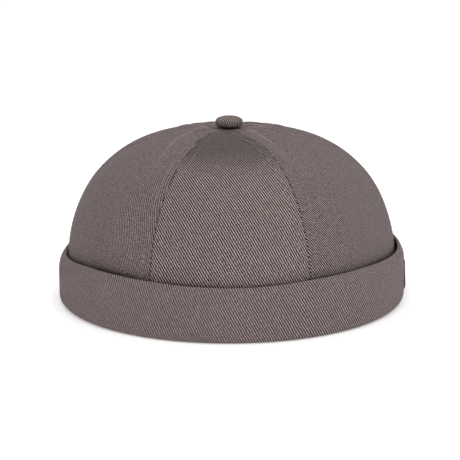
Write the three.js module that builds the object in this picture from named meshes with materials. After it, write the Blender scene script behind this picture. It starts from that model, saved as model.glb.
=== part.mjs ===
// A docker cap: a brimless cap of cotton twill with a six-panel crown and a turned-up cuff.
// Millimetres, +Z up. The cap rests on z = 0. The origin is the middle of the head opening,
// the front of the cap looks along -Y, and +X is the wearer's left.
import * as THREE from "three";

// Head opening, inside the cloth
const openingWidth = 171;
const openingLength = 197;

// Crown
const crownCloth = 1.6;
const crownHeight = 92.2; // from the resting surface to the outside of the cloth at the top
const crownFlare = 3; // how far the crown swells out at each side above its foot
const bellyHeight = 14; // level where the crown is widest
const domeSidePower = 2.94; // how round the crown's shoulder is, seen in its half-width
const domeTopPower = 2.25; // the same, seen in its height
const panelPuff = 0.45; // swelling in the middle of each panel
const seamSink = 0.5; // depth of the valley along each seam
const seamValley = 2.2; // half-width of that valley
const seamGap = 0.3; // between two panels that are sewn together
const peakRise = 0.9; // seam allowances gathered under the button lift the top
const peakSpread = 14; // how far that lift reaches
const frontPanelAngle = 27.4; // from the middle of the front or back panel to its seam
const sideSeamAngle = 90;

// Cuff
const cuffCloth = 1.8;
const cuffHeight = 29.5;
const cuffRoom = 2.5; // between the widest part of the crown and the inside of the cuff's wall
const legHeight = 5; // inner leg, sewn to the crown's foot
const innerRoll = 1.6; // radius of the fold under the leg, at the middle of the cloth
const outerRoll = 3.1; // radius of the fold under the wall, at the middle of the cloth
const crestClearance = 0.3; // least space between the cuff's crest and the crown

// Button
const buttonDiameter = 15;
const buttonHeight = 6.7;
const buttonBase = 12; // diameter where it is tucked in above the cloth
const buttonWaist = 2.6; // height of its widest part above its base
const postDiameter = 3;
const plateDiameter = 9; // clinch plate under the cloth
const plateThickness = 1;
const buttonClearance = 0.3;

// Label
const labelWidth = 22; // along the cuff
const labelHeight = 17.5;
const labelThickness = 0.6;
const labelTop = 18.7; // level of its upper edge
const labelStart = 94; // where its front edge lies, in degrees from the front
const labelGap = 0.3;
const labelFlip = 0.8; // how far its lower edge stands off the cuff

// Cloth and label colours
const twill = { color: 0x7b6e6c, roughness: 0.95, metalness: 0 };
const navyWeave = { color: 0x1c2233, roughness: 0.8, metalness: 0 };

// Sizes that follow from those above
const footHalfWidth = openingWidth / 2 + crownCloth;
const footHalfLength = openingLength / 2 + crownCloth;
const lengthRatio = footHalfLength / footHalfWidth;
const crownFoot = legHeight + seamGap;
const cuffWallInside = crownFlare * lengthRatio + panelPuff + cuffRoom;
const cuffWallOutside = cuffWallInside + cuffCloth;
const postHole = postDiameter / 2 + buttonClearance;

const radians = THREE.MathUtils.degToRad;

// Azimuths run from the front towards the wearer's left, round the oval of the crown's foot.
function ovalPoint(azimuth, offset, height) {
  const across = Math.sin(azimuth);
  const along = -Math.cos(azimuth);
  const normal = new THREE.Vector2(across / footHalfWidth, along / footHalfLength).normalize();
  return new THREE.Vector3(
    footHalfWidth * across + normal.x * offset,
    footHalfLength * along + normal.y * offset,
    height,
  );
}

// How many millimetres a radian of azimuth covers on the oval, at a given offset from it.
function ovalReach(azimuth, offset) {
  const reach = Math.hypot(footHalfWidth * Math.cos(azimuth), footHalfLength * Math.sin(azimuth));
  return reach + (offset * footHalfWidth * footHalfLength) / reach ** 2;
}

// The crown's profile: from its foot out to the belly, then over the dome to the top.
const wallShare = 0.15; // share of the rise that lies below the belly

function crownProfile(rise) {
  if (rise < wallShare) {
    const share = rise / wallShare;
    return {
      halfWidth: footHalfWidth + crownFlare * Math.sin((share * Math.PI) / 2),
      height: crownFoot + share * (bellyHeight - crownFoot),
    };
  }
  const turn = ((rise - wallShare) / (1 - wallShare)) * (Math.PI / 2);
  const halfWidth = (footHalfWidth + crownFlare) * Math.cos(turn) ** (2 / domeSidePower);
  const dome = (crownHeight - bellyHeight) * Math.sin(turn) ** (2 / domeTopPower);
  const peak = peakRise * Math.exp(-((halfWidth / peakSpread) ** 2));
  return { halfWidth, height: bellyHeight + dome + peak };
}

function crownBase(azimuth, rise) {
  const { halfWidth, height } = crownProfile(rise);
  return new THREE.Vector3(
    halfWidth * Math.sin(azimuth),
    -halfWidth * lengthRatio * Math.cos(azimuth),
    height,
  );
}

function crownNormal(azimuth, rise) {
  const step = 1e-4;
  const round = crownBase(azimuth + step, rise).sub(crownBase(azimuth - step, rise));
  const up = crownBase(azimuth, rise + step).sub(crownBase(azimuth, rise - step));
  return round.cross(up).normalize();
}

// The rise at which the crown has a given half-width, found by halving the dome.
function riseAtHalfWidth(halfWidth) {
  let low = wallShare;
  let high = 1;
  while (high - low > 1e-9) {
    const middle = (low + high) / 2;
    if (crownProfile(middle).halfWidth > halfWidth) low = middle;
    else high = middle;
  }
  return low;
}

// The rise at which the crown has a given height.
function riseAtHeight(height) {
  let low = 0;
  let high = 1;
  while (high - low > 1e-9) {
    const middle = (low + high) / 2;
    if (crownProfile(middle).height < height) low = middle;
    else high = middle;
  }
  return low;
}

// A closed wall between two grids of points, its face outside and its back inside.
function wallGeometry(face, back) {
  const rows = face.length;
  const columns = face[0].length;
  const points = [...face.flat(), ...back.flat()];
  const index = [];
  const quad = (a, b, c, d) => index.push(a, b, c, a, c, d);
  const at = (row, column) => row * columns + column;
  const behind = (row, column) => rows * columns + at(row, column);
  for (let row = 0; row < rows - 1; row++) {
    for (let column = 0; column < columns - 1; column++) {
      quad(at(row, column), at(row, column + 1), at(row + 1, column + 1), at(row + 1, column));
      quad(
        behind(row, column),
        behind(row + 1, column),
        behind(row + 1, column + 1),
        behind(row, column + 1),
      );
    }
    const last = columns - 1;
    quad(at(row, 0), at(row + 1, 0), behind(row + 1, 0), behind(row, 0));
    quad(at(row, last), behind(row, last), behind(row + 1, last), at(row + 1, last));
  }
  for (let column = 0; column < columns - 1; column++) {
    const last = rows - 1;
    quad(at(0, column), behind(0, column), behind(0, column + 1), at(0, column + 1));
    quad(at(last, column), at(last, column + 1), behind(last, column + 1), behind(last, column));
  }
  return new THREE.BufferGeometry().setFromPoints(points).setIndex(index);
}

// A closed ring through a loop of closed sections.
function ringGeometry(sections) {
  const around = sections.length;
  const across = sections[0].length;
  const index = [];
  for (let i = 0; i < around; i++) {
    for (let j = 0; j < across; j++) {
      const next = (i + 1) % around;
      const beside = (j + 1) % across;
      const a = i * across + j;
      const b = next * across + j;
      const c = next * across + beside;
      const d = i * across + beside;
      index.push(a, b, c, a, c, d);
    }
  }
  return new THREE.BufferGeometry().setFromPoints(sections.flat()).setIndex(index);
}

// Crown panels
const panelColumns = [0, 0.02, 0.05, 0.13, 0.25, 0.375, 0.5, 0.625, 0.75, 0.87, 0.95, 0.98, 1];
const wallRows = 4;
const domeRows = 15;

function panelRises() {
  const top = riseAtHalfWidth(postHole);
  const wall = Array.from({ length: wallRows }, (_, i) => (wallShare * i) / wallRows);
  const dome = Array.from(
    { length: domeRows + 1 },
    (_, i) => wallShare + ((top - wallShare) * i) / domeRows,
  );
  return [...wall, ...dome];
}

// How far the cloth stands out of the plain dome: full in the middle of a panel, sunk at its seams,
// and level with the dome at the crown's foot and under the button.
function panelRelief(share, seamDistance, rise) {
  const { halfWidth } = crownProfile(rise);
  const easeIn = Math.min(1, rise / wallShare);
  const puff = (panelPuff * Math.sin(share * Math.PI) * halfWidth) / (footHalfWidth + crownFlare);
  const easeOut = 1 - Math.exp(-((halfWidth / peakSpread) ** 2));
  const valley = seamSink * Math.exp(-((seamDistance / seamValley) ** 2));
  return easeIn * (puff - easeOut * valley);
}

function crownPanel(fromDegrees, toDegrees) {
  const from = radians(fromDegrees);
  const to = radians(toDegrees);
  const face = [];
  const back = [];
  for (const rise of panelRises()) {
    const { halfWidth } = crownProfile(rise);
    const reachAt = (azimuth) =>
      halfWidth * Math.hypot(Math.cos(azimuth), lengthRatio * Math.sin(azimuth));
    const start = from + seamGap / 2 / reachAt(from);
    const end = to - seamGap / 2 / reachAt(to);
    const faceRow = [];
    const backRow = [];
    for (const share of panelColumns) {
      const azimuth = start + share * (end - start);
      const seamDistance = Math.min(share, 1 - share) * (end - start) * reachAt(azimuth);
      const relief = panelRelief(share, seamDistance, rise);
      const base = crownBase(azimuth, rise);
      const normal = crownNormal(azimuth, rise);
      faceRow.push(base.clone().addScaledVector(normal, relief));
      backRow.push(base.clone().addScaledVector(normal, relief - crownCloth));
    }
    face.push(faceRow);
    back.push(backRow);
  }
  return wallGeometry(face, back);
}

// Cuff
// The cuff's crest at equal steps from the front towards the wearer's left. lean is how far it leans
// in towards the crown, as a share of the free space there: it hugs the crown at the wearer's right
// and stands open at the left. height is its level, as a share of the cuff's height.
const crestSteps = [
  { lean: 0.85, height: 0.97 }, // front
  { lean: 0.75, height: 1.005 },
  { lean: 0.5, height: 1.04 }, // wearer's left
  { lean: 0.5, height: 1.005 },
  { lean: 0.6, height: 0.97 }, // back
  { lean: 0.8, height: 0.99 },
  { lean: 0.95, height: 1.02 }, // wearer's right
  { lean: 0.95, height: 0.99 },
];

function crestAt(azimuth) {
  const turns = THREE.MathUtils.euclideanModulo(azimuth / (2 * Math.PI), 1);
  const place = turns * crestSteps.length;
  const here = crestSteps[Math.floor(place) % crestSteps.length];
  const next = crestSteps[(Math.floor(place) + 1) % crestSteps.length];
  const blend = THREE.MathUtils.smoothstep(place - Math.floor(place), 0, 1);
  return {
    lean: THREE.MathUtils.lerp(here.lean, next.lean, blend),
    height: THREE.MathUtils.lerp(here.height, next.height, blend) * cuffHeight,
  };
}

// The offset of the crown's cloth from the oval of its foot, at a given level.
function crownOffset(azimuth, height) {
  const foot = ovalPoint(azimuth, 0, height);
  const outward = ovalPoint(azimuth, 1, height).sub(foot);
  return crownBase(azimuth, riseAtHeight(height)).sub(foot).dot(outward) + panelPuff;
}

const wallFoot = cuffCloth / 2 + outerRoll;
const leanPower = 3; // the wall stands nearly upright and turns in near its crest

function cuffLean(azimuth, height) {
  const crest = crestAt(azimuth);
  const free = cuffWallInside - crownOffset(azimuth, crest.height) - crestClearance;
  const climb = THREE.MathUtils.clamp((height - wallFoot) / (crest.height - wallFoot), 0, 1);
  return crest.lean * Math.max(0, free) * climb ** leanPower;
}

// One section of the cuff, as pairs of offset and height round the cloth: down the inside of the
// leg, under the fold and up the wall's outside, then back down the inside of the fold.
const rollSteps = 3;
const wallSteps = 5;

function cuffSection(azimuth) {
  const half = cuffCloth / 2;
  const legMiddle = half - crownCloth;
  const wallMiddle = cuffWallInside + half;
  const outside = [new THREE.Vector2(legMiddle - half, legHeight)];
  const inside = [new THREE.Vector2(legMiddle + half, legHeight)];
  const roll = (centre, radius, turnFrom, turnTo) => {
    for (let i = 0; i <= rollSteps; i++) {
      const turn = THREE.MathUtils.lerp(turnFrom, turnTo, i / rollSteps);
      const ray = new THREE.Vector2(Math.cos(turn), Math.sin(turn));
      outside.push(centre.clone().addScaledVector(ray, radius + half));
      inside.push(centre.clone().addScaledVector(ray, radius - half));
    }
  };
  const innerCentre = new THREE.Vector2(legMiddle + innerRoll, half + innerRoll);
  const outerCentre = new THREE.Vector2(wallMiddle - outerRoll, half + outerRoll);
  roll(innerCentre, innerRoll, Math.PI, 1.5 * Math.PI);
  roll(outerCentre, outerRoll, 1.5 * Math.PI, 2 * Math.PI);
  const crestFoot = crestAt(azimuth).height - half;
  for (let i = 1; i <= wallSteps; i++) {
    const height = THREE.MathUtils.lerp(wallFoot, crestFoot, i / wallSteps);
    const middle = wallMiddle - cuffLean(azimuth, height);
    outside.push(new THREE.Vector2(middle + half, height));
    inside.push(new THREE.Vector2(middle - half, height));
  }
  const crestMiddle = wallMiddle - cuffLean(azimuth, crestFoot);
  const crest = [];
  for (let i = 1; i < rollSteps; i++) {
    const turn = (Math.PI * i) / rollSteps;
    const ray = new THREE.Vector2(Math.cos(turn), Math.sin(turn));
    crest.push(new THREE.Vector2(crestMiddle, crestFoot).addScaledVector(ray, half));
  }
  return [...outside, ...crest, ...inside.reverse()];
}

const cuffSteps = 60;

function cuffRing() {
  const sections = [];
  for (let i = 0; i < cuffSteps; i++) {
    const azimuth = (2 * Math.PI * i) / cuffSteps;
    sections.push(cuffSection(azimuth).map((point) => ovalPoint(azimuth, point.x, point.y)));
  }
  return ringGeometry(sections);
}

// Button, with the post that goes through the crown's top and the plate clinched on under it
const buttonSegments = 24;
const tuckSteps = 3;
const capSteps = 7;
const capPower = 0.65; // how full the button's upper side is

function crownTopAt(radius) {
  return crownProfile(riseAtHalfWidth(radius)).height;
}

function coveredButton() {
  const post = postDiameter / 2;
  const plate = plateDiameter / 2;
  const seat = crownTopAt(postHole) + buttonClearance;
  const plateTop = crownTopAt(plate) - crownCloth - buttonClearance;
  const waist = seat + buttonWaist;
  const profile = [
    new THREE.Vector2(0, plateTop - plateThickness),
    new THREE.Vector2(plate, plateTop - plateThickness),
    new THREE.Vector2(plate, plateTop),
    new THREE.Vector2(post, plateTop),
    new THREE.Vector2(post, seat),
  ];
  const base = buttonBase / 2;
  const belly = buttonDiameter / 2;
  for (let i = 0; i <= tuckSteps; i++) {
    const turn = ((i / tuckSteps) * Math.PI) / 2;
    const out = base + (belly - base) * Math.sin(turn);
    profile.push(new THREE.Vector2(out, waist - buttonWaist * Math.cos(turn)));
  }
  for (let i = 1; i <= capSteps; i++) {
    const turn = ((i / capSteps) * Math.PI) / 2;
    const rise = (buttonHeight - buttonWaist) * Math.sin(turn);
    const out = i < capSteps ? belly * Math.cos(turn) ** capPower : 0;
    profile.push(new THREE.Vector2(out, waist + rise));
  }
  return new THREE.LatheGeometry(profile, buttonSegments).rotateX(Math.PI / 2);
}

// Label, stitched along its upper edge and a little lifted below
const labelColumns = 8;
const labelRows = 6;

function cuffLabel() {
  const face = [];
  const back = [];
  const start = radians(labelStart);
  const span = labelWidth / ovalReach(start, cuffWallOutside);
  for (let row = 0; row <= labelRows; row++) {
    const drop = 1 - row / labelRows;
    const height = labelTop - drop * labelHeight;
    const faceRow = [];
    const backRow = [];
    for (let column = 0; column <= labelColumns; column++) {
      const azimuth = start + (span * column) / labelColumns;
      const wall = cuffWallOutside - cuffLean(azimuth, height);
      const seat = wall + labelGap + labelFlip * drop ** 2;
      faceRow.push(ovalPoint(azimuth, seat + labelThickness, height));
      backRow.push(ovalPoint(azimuth, seat, height));
    }
    face.push(faceRow);
    back.push(backRow);
  }
  return wallGeometry(face, back);
}

function namedMesh(name, geometry, finish) {
  const mesh = new THREE.Mesh(geometry, new THREE.MeshStandardMaterial(finish));
  mesh.name = name;
  geometry.computeVertexNormals();
  return mesh;
}

const crown = new THREE.Group();
const panels = [
  { name: "crown_panel_front", from: -frontPanelAngle, to: frontPanelAngle },
  { name: "crown_panel_front_left", from: frontPanelAngle, to: sideSeamAngle },
  { name: "crown_panel_back_left", from: sideSeamAngle, to: 180 - frontPanelAngle },
  { name: "crown_panel_back", from: 180 - frontPanelAngle, to: 180 + frontPanelAngle },
  { name: "crown_panel_back_right", from: 180 + frontPanelAngle, to: 360 - sideSeamAngle },
  { name: "crown_panel_front_right", from: 360 - sideSeamAngle, to: 360 - frontPanelAngle },
];
for (const panel of panels) {
  crown.add(namedMesh(panel.name, crownPanel(panel.from, panel.to), twill));
}

const cap = new THREE.Group();
cap.add(crown);
cap.add(namedMesh("cuff", cuffRing(), twill));
cap.add(namedMesh("button", coveredButton(), twill));
cap.add(namedMesh("label", cuffLabel(), navyWeave));

export default cap;
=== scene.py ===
# A docker cap: a brimless cap of taupe cotton twill, with a six-panel crown, a turned-up cuff,
# a covered button on top and a small bare label at the wearer's left. It rests on z = 0, its
# front looks along -Y and +X is the wearer's left. Metres.
import bisect
import math
import bpy
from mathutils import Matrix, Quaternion, Vector


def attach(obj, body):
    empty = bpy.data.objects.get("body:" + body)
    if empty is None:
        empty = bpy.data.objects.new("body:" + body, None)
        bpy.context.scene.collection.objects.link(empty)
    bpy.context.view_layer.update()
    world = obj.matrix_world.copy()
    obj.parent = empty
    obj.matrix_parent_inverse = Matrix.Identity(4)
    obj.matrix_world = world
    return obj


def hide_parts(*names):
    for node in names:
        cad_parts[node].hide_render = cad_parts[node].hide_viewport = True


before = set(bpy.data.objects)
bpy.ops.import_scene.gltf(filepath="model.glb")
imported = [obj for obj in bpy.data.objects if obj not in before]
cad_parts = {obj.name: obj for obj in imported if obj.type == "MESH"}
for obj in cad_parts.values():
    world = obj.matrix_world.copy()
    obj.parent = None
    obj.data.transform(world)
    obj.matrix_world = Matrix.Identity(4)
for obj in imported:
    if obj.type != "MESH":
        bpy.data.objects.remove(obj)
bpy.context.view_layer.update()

mm = 0.001
weld = 0.001 * mm

# Crown panels
# Six gores of cotton twill, sewn edge to edge over the head. The seam allowances are pressed open
# and topstitched, so each seam lies in a narrow groove between two low, wide ridges.
crown_cloth = 1.6 * mm
foot_half_width = 87.1 * mm
foot_half_length = 100.1 * mm
length_ratio = foot_half_length / foot_half_width
crown_foot = 5.3 * mm
crown_flare = 3 * mm
belly_height = 14 * mm
crown_height = 92.2 * mm
dome_side_power = 2.94
dome_top_power = 2.25
wall_share = 0.15
peak_rise = 0.9 * mm
peak_spread = 14 * mm
post_hole = 1.8 * mm
panel_row = 1.25 * mm
profile_steps = 4000
panel_puff = 0.45 * mm
seam_sink = 0.3 * mm
seam_valley = 2 * mm
seam_roll_depth = 0.55 * mm
seam_roll_width = 0.65 * mm
allowance_width = 6.5 * mm
allowance_edge = 1.2 * mm
allowance_rise = 0.6 * mm
ridge_rise = 0.7 * mm
ridge_width = 1.3 * mm
# Painted highlight on the ridges beside the seams, and painted shade in the seams.
ridge_highlight = 0.75
seam_shade_width = 0.65 * mm
painted_light_strength = 0.68
allowance_crowding = 24 * mm
low_allowance_share = 0.45
cloth_waver = 0.5 * mm
cloth_waver_size = 35 * mm
top_stretch = 0.08
front_pull = 2.4
top_draw = (-3.6 * mm, 2.8 * mm)
top_draw_place = (-11 * mm, -22 * mm)
top_draw_reach = 22 * mm
fold_strip = 1.1 * mm
fold_columns = 6
seam_strip = 7.5 * mm
seam_columns = 12
open_column = 1.3 * mm
stitch_line = 4.5 * mm
stitch_dent = 0.16 * mm
stitch_dent_width = 0.7 * mm
stitch_length = 2.1 * mm
stitch_pitch = 2.9 * mm
stitch_radius = 0.21 * mm
stitch_foot = 17 * mm
stitch_end = 9.5 * mm
button_room = 7 * mm
front_seam = math.radians(27.4)
side_seam = math.radians(90)
full_turn = math.radians(360)
half_turn = math.radians(180)


def select_only(piece):
    bpy.ops.object.select_all(action="DESELECT")
    piece.select_set(True)
    bpy.context.view_layer.objects.active = piece


def draw_line(name, points):
    """A new piece that is one line of edges through the points, left in edit mode."""
    bpy.ops.object.select_all(action="DESELECT")
    bpy.ops.mesh.primitive_plane_add(size=mm, location=(0, 0, 0), enter_editmode=True)
    bpy.context.object.name = name
    bpy.ops.mesh.select_all(action="SELECT")
    bpy.ops.mesh.merge(type="CENTER")
    bpy.ops.transform.translate(value=points[0])
    for before, after in zip(points, points[1:]):
        step = Vector(after) - Vector(before)
        bpy.ops.mesh.extrude_vertices_move(TRANSFORM_OT_translate={"value": step})
    bpy.ops.mesh.select_all(action="SELECT")
    return bpy.context.object


def apply_modifiers(piece):
    select_only(piece)
    for modifier in list(piece.modifiers):
        bpy.ops.object.modifier_apply(modifier=modifier.name)


def press_cloth(piece, reliefs):
    """Raises the cloth along its normals, or sinks it: each relief is a depth and its shares."""
    plain = [vertex.co.copy() for vertex in piece.data.vertices]
    for number, (depth, share_at) in enumerate(reliefs):
        group = piece.vertex_groups.new(name=f"relief_{number}")
        for index, point in enumerate(plain):
            group.add([index], share_at(point), "REPLACE")
        relief = piece.modifiers.new(group.name, "DISPLACE")
        relief.vertex_group = group.name
        relief.strength = depth
        relief.mid_level = 0
    apply_modifiers(piece)
    piece.vertex_groups.clear()


def thicken(piece, thickness):
    """Gives a single layer its thickness, inwards from its face."""
    wall = piece.modifiers.new("wall", "SOLIDIFY")
    wall.thickness = thickness
    wall.offset = -1
    apply_modifiers(piece)


def copy_of(piece, name):
    """A copy of a piece with its own mesh."""
    select_only(piece)
    bpy.ops.object.duplicate()
    bpy.context.object.name = name
    return bpy.context.object


def waver_cloth(piece, name, depth, size, share_at):
    """Gives the cloth the slow, shallow unevenness that a worn, pressed cap has."""
    group = piece.vertex_groups.new(name="waver_share")
    for vertex in piece.data.vertices:
        group.add([vertex.index], share_at(vertex.co), "REPLACE")
    clouds = bpy.data.textures.new(name, "CLOUDS")
    clouds.noise_scale = size
    clouds.noise_depth = 1
    waver = piece.modifiers.new(name, "DISPLACE")
    waver.texture = clouds
    waver.texture_coords = "LOCAL"
    waver.strength = depth
    waver.mid_level = 0.5
    waver.vertex_group = group.name
    apply_modifiers(piece)
    piece.vertex_groups.clear()


def lay_cloth(piece, cloth_at):
    """Writes where each corner of a face lies on the cut cloth, in metres, as its UV."""
    cloth = piece.data.uv_layers.active or piece.data.uv_layers.new(name="cloth")
    cloth.name = "cloth"
    for polygon in piece.data.polygons:
        for corner in polygon.loop_indices:
            vertex = piece.data.vertices[piece.data.loops[corner].vertex_index]
            cloth.data[corner].uv = cloth_at(vertex, polygon.center)


def paint_shade_and_highlight(piece, share_at):
    """Adds to each vertex its painted shade in a seam or fold: darker cloth, and a painted
    highlight, paler, below zero.
    """
    crease = piece.data.attributes.get("crease")
    if not crease:
        crease = piece.data.attributes.new("crease", "FLOAT", "POINT")
    for index, vertex in enumerate(piece.data.vertices):
        crease.data[index].value = min(1, crease.data[index].value + share_at(vertex.co))


def finish_piece(piece, node, material):
    """Smooths a finished piece, gives it its material and puts it in its CAD node's place."""
    piece.data.materials.clear()
    piece.data.materials.append(material)
    select_only(piece)
    bpy.ops.object.shade_smooth_by_angle(angle=math.radians(50))
    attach(piece, "root")
    if node:
        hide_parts(node)


def crown_profile(rise):
    """Half-width and height of the crown, from its foot at rise 0 to the top at rise 1."""
    if rise < wall_share:
        share = rise / wall_share
        half_width = foot_half_width + crown_flare * math.sin(share * math.pi / 2)
        return half_width, crown_foot + share * (belly_height - crown_foot)
    turn = (rise - wall_share) / (1 - wall_share) * math.pi / 2
    half_width = (foot_half_width + crown_flare) * math.cos(turn) ** (2 / dome_side_power)
    dome = (crown_height - belly_height) * math.sin(turn) ** (2 / dome_top_power)
    peak = peak_rise * math.exp(-((half_width / peak_spread) ** 2))
    return half_width, belly_height + dome + peak


def crown_rows():
    """Half-width and height of each row of the crown's cloth, a row's step apart on the cloth."""
    fine = [crown_profile(i / profile_steps) for i in range(profile_steps)]
    rows = [fine[0]]
    walked = 0
    for before, after in zip(fine, fine[1:]):
        walked += math.dist(before, after)
        if after[0] < post_hole:
            break
        if walked >= panel_row:
            rows.append(after)
            walked = 0
    return rows


rows = crown_rows()
row_heights = [height for half_width, height in rows]


def row_of(point):
    """The number of the crown's row nearest to a point's height."""
    above = min(bisect.bisect_left(row_heights, point.z), len(rows) - 1)
    below = max(above - 1, 0)
    if point.z - row_heights[below] < row_heights[above] - point.z:
        return below
    return above


def azimuth_of(point):
    """A point's azimuth round the oval, from the front towards the wearer's left."""
    return math.atan2(point.x, -point.y / length_ratio) % full_turn


def seam_normal(azimuth):
    """The level direction square to the upright plane that a seam lies in."""
    along = Vector((math.sin(azimuth), -length_ratio * math.cos(azimuth), 0)).normalized()
    return Vector((along.y, -along.x, 0))


def reach_between(start, end):
    """Length of the unit oval between two azimuths, by Simpson's rule."""
    slices = 6
    step = (end - start) / slices
    total = 0
    for i in range(slices + 1):
        azimuth = start + i * step
        speed = math.hypot(math.cos(azimuth), length_ratio * math.sin(azimuth))
        weight = 1 if i in (0, slices) else 2 + 2 * (i % 2)
        total += weight * speed
    return total * step / 3


def panel_sheet(name, start, end):
    """One gore as a single layer: its first seam's line, turned about the top to its second."""
    line = [(w * math.sin(start), -w * math.cos(start), z) for w, z in rows]
    piece = draw_line(name, line)
    edge = fold_strip / foot_half_width
    border = seam_strip / foot_half_width
    middle = end - start - 2 * (edge + border)
    columns = round(middle * foot_half_width / open_column)
    outer = [(edge, fold_columns), (border, seam_columns)]
    strips = outer + [(middle, columns)] + outer[::-1]
    for angle, steps in strips:
        bpy.ops.mesh.spin(steps=steps, angle=-angle, center=(0, 0, 0), axis=(0, 0, 1))
    bpy.ops.mesh.select_all(action="SELECT")
    bpy.ops.transform.resize(value=(1, length_ratio, 1), center_override=(0, 0, 0))
    bpy.ops.mesh.remove_doubles(threshold=weld)
    bpy.ops.mesh.normals_make_consistent(inside=False)
    bpy.ops.object.mode_set(mode="OBJECT")
    return piece


def smooth_step(value):
    share = min(1, max(0, value))
    return share * share * (3 - 2 * share)


def crown_panel(name, start, end, ease, pull, ridge):
    """A gore with its grain laid, its middle swelled and both its seams sewn in.

    Ease is the share by which the cords lie further apart across the gore, where its cloth is
    drawn sideways. Pull is how much more so, for each metre, towards its first seam. Ridge is
    how far the edge of the allowances stands from the gore's foremost seam.
    """
    piece = panel_sheet(name, start, end)
    seams = (seam_normal(start), seam_normal(end))
    middle = (start + end) / 2
    middle_reach = math.hypot(math.sin(middle), length_ratio * math.cos(middle))
    climb = [0]
    for (w0, z0), (w1, z1) in zip(rows, rows[1:]):
        climb.append(climb[-1] + math.hypot((w1 - w0) * middle_reach, z1 - z0))

    def azimuth_in_panel(point):
        azimuth = azimuth_of(point)
        if azimuth - middle > half_turn:
            return azimuth - full_turn
        if middle - azimuth > half_turn:
            return azimuth + full_turn
        return azimuth

    def cloth_at(vertex, centre):
        row = row_of(vertex.co)
        across = rows[row][0] * reach_between(middle, azimuth_in_panel(vertex.co))
        stretch = 1 - top_stretch * (climb[row] / climb[-1]) ** 2
        across = across * (1 - ease) + pull * min(0, across) ** 2
        return across, climb[row] * stretch

    def half_width_at(point):
        return rows[row_of(point)][0]

    def seam_distance(point):
        return min(abs(point.dot(normal)) for normal in seams)

    def sewn_share(point):
        """Full on the open crown, none at its foot and under the button."""
        top = 1 - math.exp(-((half_width_at(point) / peak_spread) ** 2))
        return top * smooth_step((point.z - crown_foot) / (belly_height - crown_foot))

    def puff_share(point):
        share = (azimuth_in_panel(point) - start) / (end - start)
        swell = math.sin(min(1, max(0, share)) * math.pi)
        size = half_width_at(point) / (foot_half_width + crown_flare)
        return swell * size * smooth_step((point.z - crown_foot) / (belly_height - crown_foot))

    def valley_share(point):
        return math.exp(-((seam_distance(point) / seam_valley) ** 2)) * sewn_share(point)

    def roll_share(point):
        return max(0, 1 - seam_distance(point) / seam_roll_width) ** 2 * sewn_share(point)

    def crowding_at(point):
        return math.exp(-((half_width_at(point) / allowance_crowding - 1) ** 2))

    def allowance_share(point):
        """Raised over the pressed allowances, most where the six seams crowd near the button."""
        inside = smooth_step((allowance_width - seam_distance(point)) / allowance_edge)
        high = low_allowance_share + (1 - low_allowance_share) * crowding_at(point)
        return inside * high * smooth_step((half_width_at(point) - button_room) / button_room)

    def ridge_share(point):
        """The thick edge of the crowded allowances, seen as a ridge beside each seam."""
        foremost = max(seams, key=lambda normal: abs(normal.x))
        beside = (abs(point.dot(foremost)) - ridge) / ridge_width
        clear = smooth_step((half_width_at(point) - button_room) / button_room)
        return math.exp(-(beside ** 2)) * crowding_at(point) * clear

    def seam_shade_and_ridge_highlight(point):
        """Painted shade in the seam, and a little painted highlight on the ridges."""
        deep = max(0, 1 - seam_distance(point) / seam_shade_width) * sewn_share(point)
        return deep - ridge_highlight * ridge_share(point)

    def stitch_share(point):
        beside = (seam_distance(point) - stitch_line) / stitch_dent_width
        return math.exp(-(beside ** 2)) * sewn_share(point)

    lay_cloth(piece, cloth_at)
    # Painted shade in the seams, painted highlight on the ridges.
    paint_shade_and_highlight(piece, seam_shade_and_ridge_highlight)
    press_cloth(piece, [
        (panel_puff, puff_share),
        (-seam_sink, valley_share),
        (-seam_roll_depth, roll_share),
        (allowance_rise, allowance_share),
        (ridge_rise, ridge_share),
        (-stitch_dent, stitch_share),
    ])
    waver_cloth(piece, piece.name + "_waver", cloth_waver, cloth_waver_size, sewn_share)
    return piece


def draw_top(piece):
    """Draws the crown's top a little back and towards the wearer's right, as it is sewn."""
    for vertex in piece.data.vertices:
        away = math.dist(vertex.co.xy, top_draw_place) / top_draw_reach
        vertex.co.x += top_draw[0] * math.exp(-(away ** 2))
        vertex.co.y += top_draw[1] * math.exp(-(away ** 2))


class Nodes:
    """A material's nodes, added and joined one after the other."""

    def __init__(self, name):
        self.material = bpy.data.materials.new(name)
        self.material.use_nodes = True
        self.tree = self.material.node_tree
        self.shader = self.tree.nodes["Principled BSDF"]

    def add(self, kind, inputs=None, **settings):
        node = self.tree.nodes.new(kind)
        for key, value in settings.items():
            setattr(node, key, value)
        for key, value in (inputs or {}).items():
            if isinstance(value, bpy.types.NodeSocket):
                self.tree.links.new(value, node.inputs[key])
            else:
                node.inputs[key].default_value = value
        return node

    def math(self, operation, first, second=0.0, third=0.0):
        node = self.add("ShaderNodeMath", {0: first, 1: second, 2: third}, operation=operation)
        return node.outputs[0]


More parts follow.
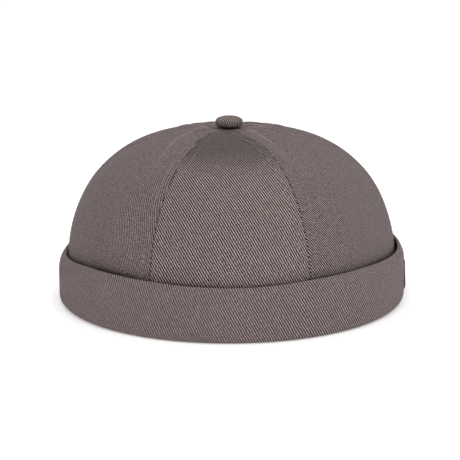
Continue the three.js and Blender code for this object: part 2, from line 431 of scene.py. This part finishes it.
def twill(name, cord, groove_shade, edge, cord_pitch=1.18 * mm, cord_lean=math.radians(30.5),
          relief=0.3 * mm, speckle=2.0, painted_top_shade=None, groove_shade_ramp=None):
    """Steep cotton twill: diagonal cords about 60 degrees up, with painted shade in the dark
    grooves between them.

    Speckle is the strength of its flecks. Painted top shade is how far up the cut cloth, and how
    much, it is darkened by painted shade towards its top. Groove shade ramp is how far across it
    the cords get crisp as the painted groove shade deepens, how much of that they keep before it
    and how much less far it is for each metre up.
    """
    bead_pitch = 0.62 * mm
    bead_depth = 0.07
    bead_stagger = 0.37
    yarn_depth = 0.7
    slow_drift = 0.5
    quick_drift = 0.3
    blotch = 0.16
    nodes = Nodes(name)
    place = nodes.add("ShaderNodeUVMap", uv_map="cloth").outputs["UV"]
    solid = nodes.add("ShaderNodeTexCoord").outputs["Object"]
    split = nodes.add("ShaderNodeSeparateXYZ", {0: place})
    u = split.outputs[0]
    v = split.outputs[1]

    def noise(vector, scale, detail, roughness=0.5):
        made = nodes.add("ShaderNodeTexNoise", {"Vector": vector, "Scale": scale,
                                                "Detail": detail, "Roughness": roughness})
        return made.outputs["Fac"]

    drift = nodes.math("MULTIPLY", noise(solid, 45.0, 1.0), slow_drift)
    jitter = nodes.math("MULTIPLY_ADD", noise(place, 420.0, 1.0), quick_drift, drift)
    u_across = nodes.math("MULTIPLY_ADD", u, math.cos(cord_lean) / cord_pitch, jitter)
    across = nodes.math("MULTIPLY_ADD", v, math.sin(cord_lean) / cord_pitch, u_across)
    v_along = nodes.math("MULTIPLY", v, math.cos(cord_lean) / bead_pitch)
    along = nodes.math("MULTIPLY_ADD", u, -math.sin(cord_lean) / bead_pitch, v_along)
    turn = nodes.math("MULTIPLY", across, 2 * math.pi)
    cords = nodes.math("MULTIPLY_ADD", nodes.math("COSINE", turn), 0.5, 0.5)
    stagger = nodes.math("MULTIPLY_ADD", nodes.math("FLOOR", across), bead_stagger, along)
    bead_turn = nodes.math("MULTIPLY", stagger, 2 * math.pi)
    beads = nodes.math("MULTIPLY", nodes.math("COSINE", bead_turn), bead_depth)
    streak = nodes.add("ShaderNodeCombineXYZ", {0: nodes.math("MULTIPLY", across, 2.2),
                                                1: nodes.math("MULTIPLY", along, 0.7)})
    fibre = noise(streak.outputs[0], 1.0, 3.0, 0.65)
    yarn = nodes.math("MULTIPLY_ADD", fibre, yarn_depth, -yarn_depth / 2)
    height = nodes.math("ADD", nodes.math("ADD", cords, beads), yarn)
    shade = nodes.math("SUBTRACT", height, 0.5 - edge)
    shade = nodes.math("DIVIDE", shade, 2 * edge)
    # The painted groove shade fades to a share across the cloth, where the light runs along the
    # cords.
    if groove_shade_ramp:
        from_side, to_side, kept, slant = groove_shade_ramp
        reach = nodes.math("MULTIPLY_ADD", v, slant, u)
        crisp = nodes.add("ShaderNodeMapRange", {0: reach, 1: from_side, 2: to_side,
                                                 3: kept, 4: 1.0})
        clear = nodes.add("ShaderNodeClamp", {0: shade}).outputs[0]
        clear = nodes.math("SUBTRACT", clear, 0.5)
        shade = nodes.math("MULTIPLY_ADD", clear, crisp.outputs[0], 0.5)
    # The groove colour is painted shade between the cords.
    colour = nodes.add("ShaderNodeMix", {0: shade}, data_type="RGBA", clamp_factor=True)
    colour.inputs[6].default_value = groove_shade
    colour.inputs[7].default_value = cord
    fleck = nodes.math("MULTIPLY_ADD", noise(solid, 1700.0, 1.0, 0.7), speckle, 1 - speckle / 2)
    blotch_and_painted_shade = nodes.math("MULTIPLY_ADD", noise(solid, 14.0, 3.0), blotch, 1 - blotch / 2)
    # Painted shade towards the top of the cut cloth.
    if painted_top_shade:
        from_height, to_height, darkening = painted_top_shade
        climb = nodes.add("ShaderNodeMapRange", {0: v, 1: from_height, 2: to_height,
                                                 3: 1.0, 4: 1 - darkening},
                          interpolation_type="SMOOTHSTEP")
        blotch_and_painted_shade = nodes.math("MULTIPLY", blotch_and_painted_shade, climb.outputs[0])
    # Darker by the painted shade in seams and folds, paler by the painted highlight on ridges.
    crease = nodes.add("ShaderNodeAttribute", attribute_name="crease").outputs["Fac"]
    blotch_and_painted_shade = nodes.math("MULTIPLY", blotch_and_painted_shade, nodes.math("MULTIPLY_ADD", crease, -painted_light_strength, 1.0))
    tone = nodes.add("ShaderNodeMix", data_type="RGBA", blend_type="MULTIPLY")
    tone.inputs[0].default_value = 1.0
    nodes.tree.links.new(colour.outputs[2], tone.inputs[6])
    nodes.tree.links.new(nodes.math("MULTIPLY", fleck, blotch_and_painted_shade), tone.inputs[7])
    bump = nodes.add("ShaderNodeBump", {"Height": height, "Strength": 0.8, "Distance": relief})
    nodes.tree.links.new(tone.outputs[2], nodes.shader.inputs["Base Color"])
    nodes.tree.links.new(bump.outputs[0], nodes.shader.inputs["Normal"])
    nodes.shader.inputs["Roughness"].default_value = 0.95
    nodes.shader.inputs["Specular IOR Level"].default_value = 0.15
    nodes.shader.inputs["Sheen Weight"].default_value = 0.05
    nodes.shader.inputs["Sheen Roughness"].default_value = 0.6
    return nodes.material


# The crown twill and shaded copies of it for single gores: the faint and deep copies carry less or
# more painted shade in their grooves, as the light falls along or across their cords.
crown_twill = twill("crown_twill", (0.318, 0.246, 0.242, 1), (0.012, 0.008, 0.008, 1), 0.2)
# The front gore's copy: lighter cords as painted light, and painted shade towards its top.
front_twill = twill("front_twill", (0.385, 0.297, 0.292, 1), (0.01, 0.007, 0.007, 1), 0.21,
                    painted_top_shade=(79 * mm, 108 * mm, 0.46))
faint_shade_twill = twill("faint_shade_twill", (0.256, 0.198, 0.194, 1), (0.066, 0.051, 0.049, 1), 0.28,
                      relief=0.1 * mm, speckle=3.1, groove_shade_ramp=(33 * mm, 43 * mm, 0.45, 0.35))
deep_shade_twill = twill("deep_shade_twill", (0.335, 0.259, 0.255, 1), (0.006, 0.004, 0.004, 1), 0.15,
                    speckle=2.4, groove_shade_ramp=(-29 * mm, -41 * mm, 0.4, -0.35))
gore_twill = {
    "crown_panel_front": front_twill,
    "crown_panel_front_left": deep_shade_twill,
    "crown_panel_front_right": faint_shade_twill,
    "crown_panel_back_right": faint_shade_twill,
}
panels = [
    ("crown_panel_front", -front_seam, front_seam, 0, front_pull, 40 * mm),
    ("crown_panel_front_left", front_seam, side_seam, -0.02, 0, 7.2 * mm),
    ("crown_panel_back_left", side_seam, half_turn - front_seam, 0, 0, 10 * mm),
    ("crown_panel_back", half_turn - front_seam, half_turn + front_seam, 0.03, 0, 40 * mm),
    ("crown_panel_back_right", half_turn + front_seam, full_turn - side_seam, 0, 0, 11 * mm),
    ("crown_panel_front_right", full_turn - side_seam, full_turn - front_seam, -0.07, 0, 15 * mm),
]
gores = []
gore_layers = []
for node, start, end, ease, pull, ridge in panels:
    gore = crown_panel("gore" + node.removeprefix("crown_panel"), start, end, ease, pull, ridge)
    gores.append(gore)
    gore_layers.append((copy_of(gore, "layer_" + gore.name), start, end))
    thicken(gore, crown_cloth)
    draw_top(gore)
    finish_piece(gore, node, gore_twill.get(node, crown_twill))

# Topstitching and seam allowances
# Matching cotton thread holds each seam's two pressed allowances down, in a row 4.5 mm from the
# seam on either side. Inside the crown the allowances are raw strips of the same twill.
allowance_cloth = 0.8 * mm
allowance_gap = 0.05 * mm


def cut(piece, place, normal, clear_inner, clear_outer):
    """Cuts a piece through by a plane and clears what lies behind it, before it or both."""
    select_only(piece)
    bpy.ops.object.mode_set(mode="EDIT")
    bpy.ops.mesh.select_all(action="SELECT")
    bpy.ops.mesh.bisect(plane_co=place, plane_no=normal,
                        clear_inner=clear_inner, clear_outer=clear_outer)
    bpy.ops.object.mode_set(mode="OBJECT")


def join(pieces, name):
    bpy.ops.object.select_all(action="DESELECT")
    for piece in pieces:
        piece.select_set(True)
    bpy.context.view_layer.objects.active = pieces[0]
    bpy.ops.object.join()
    pieces[0].name = name
    return pieces[0]


def height_at_half_width(half_width):
    return next(height for width, height in reversed(rows) if width > half_width)


def stitch_row(layer, name, place, normal, foot, end):
    """Stitches laid head to tail where a plane cuts a layer of cloth, between two heights."""
    line = copy_of(layer, name + "_line")
    cut(line, place, normal, True, True)
    cut(line, (0, 0, foot), (0, 0, 1), True, False)
    cut(line, (0, 0, end), (0, 0, 1), False, True)
    select_only(line)
    bpy.ops.object.convert(target="CURVE")
    line = bpy.context.object
    bpy.ops.object.select_all(action="DESELECT")
    bpy.ops.mesh.primitive_uv_sphere_add(segments=6, ring_count=4, radius=stitch_radius,
                                         enter_editmode=True)
    stitch = bpy.context.object
    stitch.name = name
    bpy.ops.transform.resize(value=(stitch_length / (2 * stitch_radius), 1, 1),
                             center_override=(0, 0, 0))
    bpy.ops.transform.translate(value=(stitch_pitch / 2, 0, 0))
    bpy.ops.object.mode_set(mode="OBJECT")
    row = stitch.modifiers.new("row", "ARRAY")
    row.fit_type = "FIT_CURVE"
    row.curve = line
    row.use_relative_offset = False
    row.use_constant_offset = True
    row.constant_offset_displace = (stitch_pitch, 0, 0)
    bend = stitch.modifiers.new("bend", "CURVE")
    bend.object = line
    apply_modifiers(stitch)
    bpy.data.objects.remove(line)
    return stitch


def allowance_strip(layer, name, inward, middle_normal):
    """The turned-back edge of one panel, pressed flat against its inside."""
    strip = copy_of(layer, name)
    cut(strip, inward * allowance_width, inward, False, True)
    cut(strip, (0, 0, 0), middle_normal, False, True)
    inset = strip.modifiers.new("inset", "DISPLACE")
    inset.strength = -(crown_cloth + allowance_gap)
    inset.mid_level = 0
    apply_modifiers(strip)
    thicken(strip, allowance_cloth)
    return strip


def thread(name, colour, twist_pitch):
    """Twisted sewing thread."""
    nodes = Nodes(name)
    solid = nodes.add("ShaderNodeTexCoord").outputs["Object"]
    fuzz = nodes.add("ShaderNodeTexNoise", {"Vector": solid, "Scale": 1 / twist_pitch,
                                            "Detail": 2.0, "Roughness": 0.6})
    tone = nodes.add("ShaderNodeMix", data_type="RGBA")
    nodes.tree.links.new(fuzz.outputs["Fac"], tone.inputs[0])
    tone.inputs[6].default_value = [0.55 * c for c in colour[:3]] + [1]
    tone.inputs[7].default_value = [1.3 * c for c in colour[:3]] + [1]
    bump = nodes.add("ShaderNodeBump", {"Height": fuzz.outputs["Fac"], "Strength": 0.6,
                                        "Distance": 0.1 * mm})
    nodes.tree.links.new(tone.outputs[2], nodes.shader.inputs["Base Color"])
    nodes.tree.links.new(bump.outputs[0], nodes.shader.inputs["Normal"])
    nodes.shader.inputs["Roughness"].default_value = 0.75
    nodes.shader.inputs["Specular IOR Level"].default_value = 0.3
    return nodes.material


crown_thread = thread("crown_thread", (0.26, 0.21, 0.207), 0.5 * mm)
for layer, start, end in gore_layers:
    gore_name = layer.name.removeprefix("layer_gore_")
    middle_normal = seam_normal((start + end) / 2)
    first = -seam_normal(start)
    last = seam_normal(end)
    stitches = [stitch_row(layer, f"{gore_name}_{side}", inward * stitch_line, inward,
                           stitch_foot, height_at_half_width(stitch_end))
                for side, inward in (("first", first), ("last", last))]
    topstitch = join(stitches, "topstitch_" + gore_name)
    draw_top(topstitch)
    finish_piece(topstitch, None, crown_thread)
    strips = [
        allowance_strip(layer, gore_name + "_first_strip", first, -middle_normal),
        allowance_strip(layer, gore_name + "_last_strip", last, middle_normal),
    ]
    allowances = join(strips, "seam_allowances_" + gore_name)
    draw_top(allowances)
    finish_piece(allowances, None, crown_twill)
    bpy.data.objects.remove(layer)

# Cuff
# A doubled band of the same twill, sewn to the foot of the crown, turned up on the outside and
# pressed. It stands by itself: close to the crown at the wearer's right, a little open at the left.
cuff_cloth = 1.8 * mm
cuff_height = 29.5 * mm
cuff_room = 2.5 * mm
leg_height = 5 * mm
inner_roll = 1.6 * mm
outer_roll = 3.1 * mm
crest_clearance = 0.3 * mm
cuff_columns = 384
band_middle = 26 * mm
band_fan = 1.9
band_fan_reach = 80 * mm
band_flat = 35 * mm
band_ease = 0.08
joint_reach = 4.7 * mm
joint_depth = 0.6 * mm
joint_width = 0.55 * mm
joint_crowding = 0.8
lean_power = 8
cuff_waver = 0.7 * mm
cuff_waver_size = 45 * mm
# Painted shadow on the crown's cloth below the cuff's crest.
fold_shade = 0.8 * mm
fold_shadow_strength = 1.0
cuff_half = cuff_cloth / 2
cuff_inside = crown_flare * length_ratio + panel_puff + cuff_room
wall_middle = cuff_inside + cuff_half
leg_middle = cuff_half - crown_cloth
wall_foot = cuff_half + outer_roll

# Lean and height of the crest at equal steps from the front towards the wearer's left: the lean as
# a share of the free space inside it, the height as a share of the cuff's.
crest_steps = [
    (0.38, 0.985),
    (0.3, 1.06),
    (0.66, 0.995),
    (0.5, 0.99),
    (0.6, 0.97),
    (0.6, 0.975),
    (1.0, 0.885),
    (0.1, 1.045),
]


def crest_at(azimuth):
    """Lean share and height of the cuff's crest at an azimuth."""
    place = azimuth / full_turn % 1 * len(crest_steps)
    here = crest_steps[int(place) % len(crest_steps)]
    following = crest_steps[(int(place) + 1) % len(crest_steps)]
    blend = smooth_step(place - int(place))
    lean = here[0] + (following[0] - here[0]) * blend
    height = here[1] + (following[1] - here[1]) * blend
    return lean, height * cuff_height


def cuff_section():
    """The plain section as offset and height: inside the leg, under, up the wall and back down."""
    wall_top = cuff_height - cuff_half
    section = [(leg_middle - cuff_half, leg_height)]

    def roll(centre, radius, turn_from, turn_to, steps):
        for i in range(steps + 1):
            turn = turn_from + (turn_to - turn_from) * i / steps
            section.append((centre[0] + radius * math.cos(turn),
                            centre[1] + radius * math.sin(turn)))

    inner = (leg_middle + inner_roll, cuff_half + inner_roll)
    outer = (wall_middle - outer_roll, cuff_half + outer_roll)
    quarter = math.pi / 2
    roll(inner, inner_roll + cuff_half, 2 * quarter, 3 * quarter, 6)
    roll(outer, outer_roll + cuff_half, 3 * quarter, 4 * quarter, 8)
    wall_rows = 22
    for i in range(1, wall_rows):
        climbed = (wall_top - wall_foot) * i / wall_rows
        section.append((wall_middle + cuff_half, wall_foot + climbed))
    roll((wall_middle, wall_top), cuff_half, 0, 2 * quarter, 8)
    for i in range(1, wall_rows // 2):
        section.append((cuff_inside, wall_top - (wall_top - wall_foot) * 2 * i / wall_rows))
    roll(outer, outer_roll - cuff_half, 4 * quarter, 3 * quarter, 6)
    roll(inner, inner_roll - cuff_half, 3 * quarter, 2 * quarter, 3)
    section.append((leg_middle + cuff_half, leg_height))
    return section


def crown_offset(azimuth, height):
    """How far the crown's cloth stands outside the oval of its foot, at a height."""
    above = bisect.bisect_left(row_heights, height)
    half_width = rows[above][0]
    oval = Vector((math.sin(azimuth) / foot_half_width, -math.cos(azimuth) / foot_half_length))
    outward = oval.normalized()
    step = Vector((math.sin(azimuth), -length_ratio * math.cos(azimuth)))
    return (half_width - foot_half_width) * step.dot(outward) + panel_puff


def cuff_ring(name):
    section = cuff_section()
    offset, height = section[0]
    bpy.ops.object.select_all(action="DESELECT")
    bpy.ops.mesh.primitive_circle_add(
        vertices=cuff_columns, radius=foot_half_width + offset, enter_editmode=True)
    piece = bpy.context.object
    piece.name = name
    stretch = (foot_half_length + offset) / (foot_half_width + offset)
    bpy.ops.transform.resize(value=(1, stretch, 1), center_override=(0, 0, 0))
    bpy.ops.transform.translate(value=(0, 0, height))
    for further, higher in section[1:] + section[:1]:
        wider = (foot_half_width + further) / (foot_half_width + offset)
        longer = (foot_half_length + further) / (foot_half_length + offset)
        rise = {"value": (0, 0, higher - height)}
        bpy.ops.mesh.extrude_edges_move(TRANSFORM_OT_translate=rise)
        bpy.ops.transform.resize(value=(wider, longer, 1), center_override=(0, 0, 0))
        offset, height = further, higher
    bpy.ops.object.mode_set(mode="OBJECT")
    return piece, section


def shape_cuff(piece, section):
    """Leans the wall in and lets its crest rise and fall, as the crest table says."""
    wall_top = cuff_height - cuff_half
    for vertex in piece.data.vertices:
        offset, height = section[vertex.index // cuff_columns % len(section)]
        if offset < wall_middle - outer_roll:
            continue
        reach = Vector((vertex.co.x / (foot_half_width + offset),
                        vertex.co.y / (foot_half_length + offset)))
        azimuth = math.atan2(reach.x, -reach.y)
        lean, crest = crest_at(azimuth)
        climb = min(1, max(0, (height - wall_foot) / (wall_top - wall_foot)))
        free = cuff_inside - crown_offset(azimuth, crest) - crest_clearance
        inward = lean * max(0, free) * climb ** lean_power
        outward = Vector((reach.x / foot_half_width, reach.y / foot_half_length, 0)).normalized()
        vertex.co -= outward * inward
        vertex.co.z += (crest - cuff_height) * climb


def painted_fold_shadow(point):
    """Painted shadow on the crown's cloth below the cuff's crest, where the cuff shades it."""
    lean, crest = crest_at(azimuth_of(point))
    return fold_shadow_strength * smooth_step((crest - point.z) / fold_shade)


# Paints shadow on the crown's foot, below the cuff's crest.
for gore in gores:
    paint_shade_and_highlight(gore, painted_fold_shadow)
cuff, cuff_outline = cuff_ring("turned_up_cuff")
section_walk = [0]
for before, after in zip(cuff_outline, cuff_outline[1:] + cuff_outline[:1]):
    section_walk.append(section_walk[-1] + math.dist(before, after))


def cuff_cloth_at(vertex, centre):
    """The band is cut on a slight curve, so in front its cords fan out towards its lower edge."""
    ring = vertex.index // cuff_columns
    azimuth = math.atan2(vertex.co.x, -vertex.co.y / length_ratio)
    side = math.atan2(centre.x, -centre.y / length_ratio)
    near_joint = 3
    if side > near_joint and azimuth < 0:
        azimuth += full_turn
    if side < -near_joint and azimuth > 0:
        azimuth -= full_turn
    slice_angle = 0.4
    slices = max(1, round(abs(azimuth) / slice_angle))
    around = 0
    for i in range(slices):
        around += reach_between(azimuth * i / slices, azimuth * (i + 1) / slices)
    u = around * (foot_half_width + wall_middle)
    v = section_walk[ring]
    u -= math.copysign(band_ease * max(0, abs(u) - band_flat), u)
    fanned = max(-band_fan_reach, min(band_fan_reach, u))
    return u + band_fan * fanned * (v - band_middle), v


def joint_share(point):
    """Full in the upright seam at the back, where the band's two ends are joined."""
    if point.y < 0:
        return 0
    return math.exp(-((point.x / joint_width) ** 2))


lay_cloth(cuff, cuff_cloth_at)
shape_cuff(cuff, cuff_outline)
for vertex in cuff.data.vertices:
    if vertex.co.y > 0 and abs(vertex.co.x) < joint_reach:
        vertex.co.x *= (abs(vertex.co.x) / joint_reach) ** joint_crowding
select_only(cuff)
bpy.ops.object.mode_set(mode="EDIT")
bpy.ops.mesh.select_all(action="SELECT")
bpy.ops.mesh.remove_doubles(threshold=weld)
bpy.ops.mesh.normals_make_consistent(inside=False)
bpy.ops.object.mode_set(mode="OBJECT")


def clear_of_foot(point):
    return smooth_step(point.z / wall_foot - 0.2)


press_cloth(cuff, [(-joint_depth, joint_share)])
# Painted shade in the joint at the back.
paint_shade_and_highlight(cuff, joint_share)
waver_cloth(cuff, "cuff_waver", cuff_waver, cuff_waver_size, clear_of_foot)
# Its painted groove shade is fainter towards the wearer's right, where the light runs more along
# the cords.
cuff_twill = twill("cuff_twill", (0.34, 0.262, 0.255, 1), (0.024, 0.018, 0.018, 1), 0.3,
                   cord_pitch=1.22 * mm, cord_lean=math.radians(27),
                   groove_shade_ramp=(-10 * mm, 35 * mm, 0.72, 0.0))
finish_piece(cuff, "cuff", cuff_twill)

# Button
# A dome-shaped form covered with a disc of the same twill, gathered under its edge. Its post goes
# down through the crown's top, where the six seams meet, to a small clinch plate.
button_radius = 7.6 * mm
button_height = 5.7 * mm
button_base = 5.8 * mm
button_waist = 2.7 * mm
post_radius = 1.5 * mm
plate_radius = 4.5 * mm
plate_thickness = 1 * mm
button_clearance = 0.3 * mm
button_lift = 0.65 * mm
cap_power = 0.85
gathers = 14
gather_depth = 0.22 * mm
gather_top = 2 * mm
gather_middle = 1.5 * mm
button_columns = 112
touching = 0.01 * mm
seat = height_at_half_width(post_hole) + button_clearance + button_lift
plate_top = height_at_half_width(plate_radius) - crown_cloth - button_clearance
waist = seat + button_waist


def button_profile():
    profile = [
        (0, plate_top - plate_thickness),
        (plate_radius, plate_top - plate_thickness),
        (plate_radius, plate_top),
        (post_radius, plate_top),
        (post_radius, seat),
    ]
    for i in range(8):
        turn = i / 7 * math.pi / 2
        out = button_base + (button_radius - button_base) * math.sin(turn)
        profile.append((out, waist - button_waist * math.cos(turn)))
    cap_rows = 18
    for i in range(1, cap_rows):
        turn = (i / cap_rows) ** 0.8 * math.pi / 2
        out = button_radius * math.cos(turn) ** cap_power
        profile.append((out, waist + (button_height - button_waist) * math.sin(turn)))
    profile.append((0, waist + button_height - button_waist))
    return profile


def gather_share(point):
    """Soft pleats where the cloth is drawn in under the button's edge."""
    out = math.hypot(point.x, point.y)
    if out < button_base - 0.1 * mm or point.z > waist + gather_top:
        return 0
    low = smooth_step((waist + gather_middle - point.z) / gather_top)
    return low * (0.5 + 0.5 * math.cos(gathers * math.atan2(point.y, point.x)))


button = draw_line("covered_button", [(out, 0, z) for out, z in button_profile()])
bpy.ops.mesh.spin(steps=button_columns, angle=full_turn, center=(0, 0, 0), axis=(0, 0, 1))
bpy.ops.mesh.select_all(action="SELECT")
bpy.ops.mesh.remove_doubles(threshold=weld)
bpy.ops.mesh.normals_make_consistent(inside=False)
bpy.ops.object.mode_set(mode="OBJECT")
button_walk = button_profile()[::-1]


def button_cloth_at(vertex, centre):
    """The disc of cloth seen flat: as far from its middle as the cloth runs over the dome."""
    out = math.hypot(vertex.co.x, vertex.co.y)
    walked = 0
    for before, after in zip(button_walk, button_walk[1:]):
        if math.dist(before, (out, vertex.co.z)) < touching:
            break
        walked += math.dist(before, after)
    if out < touching:
        return 0, 0
    return walked * vertex.co.x / out, walked * vertex.co.y / out


lay_cloth(button, button_cloth_at)
press_cloth(button, [(-gather_depth, gather_share)])
select_only(button)
drawn = math.exp(-((math.dist((0, 0), top_draw_place) / top_draw_reach) ** 2))
bpy.ops.object.mode_set(mode="EDIT")
bpy.ops.mesh.select_all(action="SELECT")
bpy.ops.transform.translate(value=(top_draw[0] * drawn, top_draw[1] * drawn, 0))
bpy.ops.object.mode_set(mode="OBJECT")
button_twill = twill("button_twill", (0.36, 0.279, 0.272, 1), (0.04, 0.031, 0.03, 1), 0.32,
                     cord_pitch=1.1 * mm, cord_lean=math.radians(16))
finish_piece(button, "button", button_twill)

# Label
# A small damask label in navy polyester, bare; its upper and lower edges are folded under, but
# drawn flat. It is sewn to the cuff with a few pale stitches at its two ends. Its lower edge and
# front end lift a little.
label_width = 22 * mm
label_height = 15.4 * mm
label_thickness = 0.6 * mm
label_top = 17.2 * mm
label_start = math.radians(93)
label_gap = 0.25 * mm
label_flip = 0.5 * mm
label_lift = 0.5 * mm
label_columns = 44
label_rows = 36
tack_inset = 0.8 * mm
label_standoff = 6 * mm
label_middle = label_start + label_width / 2 / (foot_half_length + wall_middle)
label_outward = Vector((math.sin(label_middle) / foot_half_width,
                        -math.cos(label_middle) / foot_half_length, 0)).normalized()
label_place = Vector((
    (foot_half_width + wall_middle) * math.sin(label_middle),
    -(foot_half_length + wall_middle) * math.cos(label_middle),
    label_top - label_height / 2)) + label_outward * label_standoff
label_along = Vector((-label_outward.y, label_outward.x, 0))
bpy.ops.object.select_all(action="DESELECT")
facing = math.atan2(label_outward.y, label_outward.x) + math.pi / 2
bpy.ops.mesh.primitive_grid_add(x_subdivisions=label_columns, y_subdivisions=label_rows, size=1,
                                location=label_place, rotation=(math.pi / 2, 0, facing))
label = bpy.context.object
label.name = "side_label"
label.scale = (label_width, label_height, 1)
bpy.ops.object.transform_apply(location=True, rotation=True, scale=True)
cloth = label.data.uv_layers.active
cloth.name = "cloth"
for corner in cloth.data:
    corner.uv = (corner.uv.x * label_width, corner.uv.y * label_height)
seat_on_cuff = label.modifiers.new("seat", "SHRINKWRAP")
seat_on_cuff.wrap_method = "PROJECT"
seat_on_cuff.target = cuff
seat_on_cuff.use_negative_direction = True
seat_on_cuff.use_positive_direction = True
seat_on_cuff.wrap_mode = "ABOVE_SURFACE"
seat_on_cuff.offset = label_gap + label_thickness
apply_modifiers(label)


def flip_share(point):
    return ((label_top - point.z) / label_height) ** 2


def lift_share(point):
    """The label's front end stands off the cuff."""
    along = (point - label_place).dot(label_along)
    return (0.5 - along / label_width) ** 2


press_cloth(label, [(label_flip, flip_share), (label_lift, lift_share)])
label_layer = copy_of(label, "label_layer")
thicken(label, label_thickness)


def label_weave(name):
    """Dense navy satin with fine ribs and a few paler threads."""
    nodes = Nodes(name)
    place = nodes.add("ShaderNodeUVMap", uv_map="cloth").outputs["UV"]
    split = nodes.add("ShaderNodeSeparateXYZ", {0: place})
    rib_pitch = 0.45 * mm
    ribs = nodes.math("COSINE", nodes.math("MULTIPLY", split.outputs[1], 2 * math.pi / rib_pitch))
    picks = nodes.math("COSINE", nodes.math("MULTIPLY", split.outputs[0], 2 * math.pi / rib_pitch))
    weave = nodes.math("MULTIPLY_ADD", nodes.math("MULTIPLY", ribs, picks), 0.5, 0.5)
    fleck = nodes.add("ShaderNodeTexNoise", {"Vector": place, "Scale": 900.0, "Detail": 2.0})
    shade = nodes.math("MULTIPLY", weave, fleck.outputs["Fac"])
    colour = nodes.add("ShaderNodeMix", {0: shade}, data_type="RGBA", clamp_factor=True)
    colour.inputs[6].default_value = (0.008, 0.011, 0.028, 1)
    colour.inputs[7].default_value = (0.05, 0.06, 0.12, 1)
    bump = nodes.add("ShaderNodeBump", {"Height": weave, "Strength": 0.6, "Distance": 0.1 * mm})
    nodes.tree.links.new(colour.outputs[2], nodes.shader.inputs["Base Color"])
    nodes.tree.links.new(bump.outputs[0], nodes.shader.inputs["Normal"])
    nodes.shader.inputs["Roughness"].default_value = 0.6
    nodes.shader.inputs["Sheen Weight"].default_value = 0.2
    return nodes.material


finish_piece(label, "label", label_weave("label_weave"))
label_tacks = []
tack_foot = label_top - label_height + tack_inset
for end_name, reach in (("front_end", -label_width / 2 + tack_inset),
                        ("back_end", label_width / 2 - tack_inset)):
    tack_place = label_place + label_along * reach
    label_tacks.append(stitch_row(label_layer, "tacks_" + end_name, tack_place, label_along,
                                  tack_foot, label_top - tack_inset))
bpy.data.objects.remove(label_layer)
label_thread = thread("label_thread", (0.3, 0.3, 0.36), 0.5 * mm)
finish_piece(join(label_tacks, "label_tacks"), None, label_thread)

# Camera
# At the photograph's height and distance, a hair towards the wearer's left.
frame_width = 460
focal_pixels = 2047
view_distance = 1.128
view_elevation = math.radians(11.618)
view_turn = math.radians(0.525)
view_roll = math.radians(0.238)
view_target = Vector((0, 0, 47 * mm))
target_pixel = (231.325, 210.604)
camera_data = bpy.data.cameras.new("camera")
camera_data.sensor_width = 36
camera_data.lens = focal_pixels / frame_width * camera_data.sensor_width
camera_data.shift_x = (frame_width / 2 - target_pixel[0]) / frame_width
camera_data.shift_y = (target_pixel[1] - frame_width / 2) / frame_width
camera = bpy.data.objects.new("camera", camera_data)
bpy.context.collection.objects.link(camera)
level = view_distance * math.cos(view_elevation)
away = Vector((level * math.sin(view_turn), -level * math.cos(view_turn),
               view_distance * math.sin(view_elevation)))
camera.location = view_target + away
camera.rotation_mode = "QUATERNION"
roll = Quaternion((0, 0, 1), -view_roll)
camera.rotation_quaternion = (-away).to_track_quat("-Z", "Y") @ roll
bpy.context.scene.camera = camera

# Floor and light
# A plain white floor, white surroundings that are brightest overhead and large soft lamps, two of
# them high in front.
bpy.ops.object.select_all(action="DESELECT")
bpy.ops.mesh.primitive_plane_add(size=12)
floor = bpy.context.object
floor.name = "floor"
floor_finish = Nodes("floor")
floor_finish.shader.inputs["Base Color"].default_value = (0.93, 0.93, 0.93, 1)
floor_finish.shader.inputs["Roughness"].default_value = 1
floor_finish.shader.inputs["Specular IOR Level"].default_value = 0
floor_finish.shader.inputs["Emission Color"].default_value = (1, 1, 1, 1)
floor_finish.shader.inputs["Emission Strength"].default_value = 0.3
floor.data.materials.append(floor_finish.material)


def softbox(name, place, size, watts, colour):
    lamp_data = bpy.data.lights.new(name, "AREA")
    lamp_data.shape = "RECTANGLE"
    lamp_data.size = size[0]
    lamp_data.size_y = size[1]
    lamp_data.energy = watts
    lamp_data.color = colour
    lamp = bpy.data.objects.new(name, lamp_data)
    bpy.context.collection.objects.link(lamp)
    lamp.location = place
    aim = view_target - Vector(place)
    lamp.rotation_mode = "QUATERNION"
    lamp.rotation_quaternion = aim.to_track_quat("-Z", "Y")


softbox("key_right", (-0.6, -1.3, 1.4), (1.2, 1.2), 10, (1, 0.985, 0.955))
softbox("key_left", (0.6, -1.3, 1.4), (1.2, 1.2), 10, (0.97, 0.985, 1))
softbox("fill_left", (1.5, -1.0, 0.6), (1, 1), 4.7, (0.96, 0.98, 1))
softbox("rear", (0, 1.2, 1.5), (1.2, 1.2), 8.6, (1, 1, 1))
world = bpy.data.worlds.new("surroundings")
bpy.context.scene.world = world
world.use_nodes = True
sky = world.node_tree
sky_place = sky.nodes.new("ShaderNodeTexCoord")
sky_split = sky.nodes.new("ShaderNodeSeparateXYZ")
sky_glow = sky.nodes.new("ShaderNodeMath")
sky_glow.operation = "MULTIPLY"
sky.links.new(sky_place.outputs["Generated"], sky_split.inputs[0])
sky.links.new(sky_split.outputs[2], sky_glow.inputs[0])
sky.links.new(sky_split.outputs[2], sky_glow.inputs[1])
sky.links.new(sky_glow.outputs[0], sky.nodes["Background"].inputs["Strength"])
sky.nodes["Background"].inputs["Color"].default_value = (1, 1, 1, 1)
bpy.context.scene.view_settings.view_transform = "Standard"
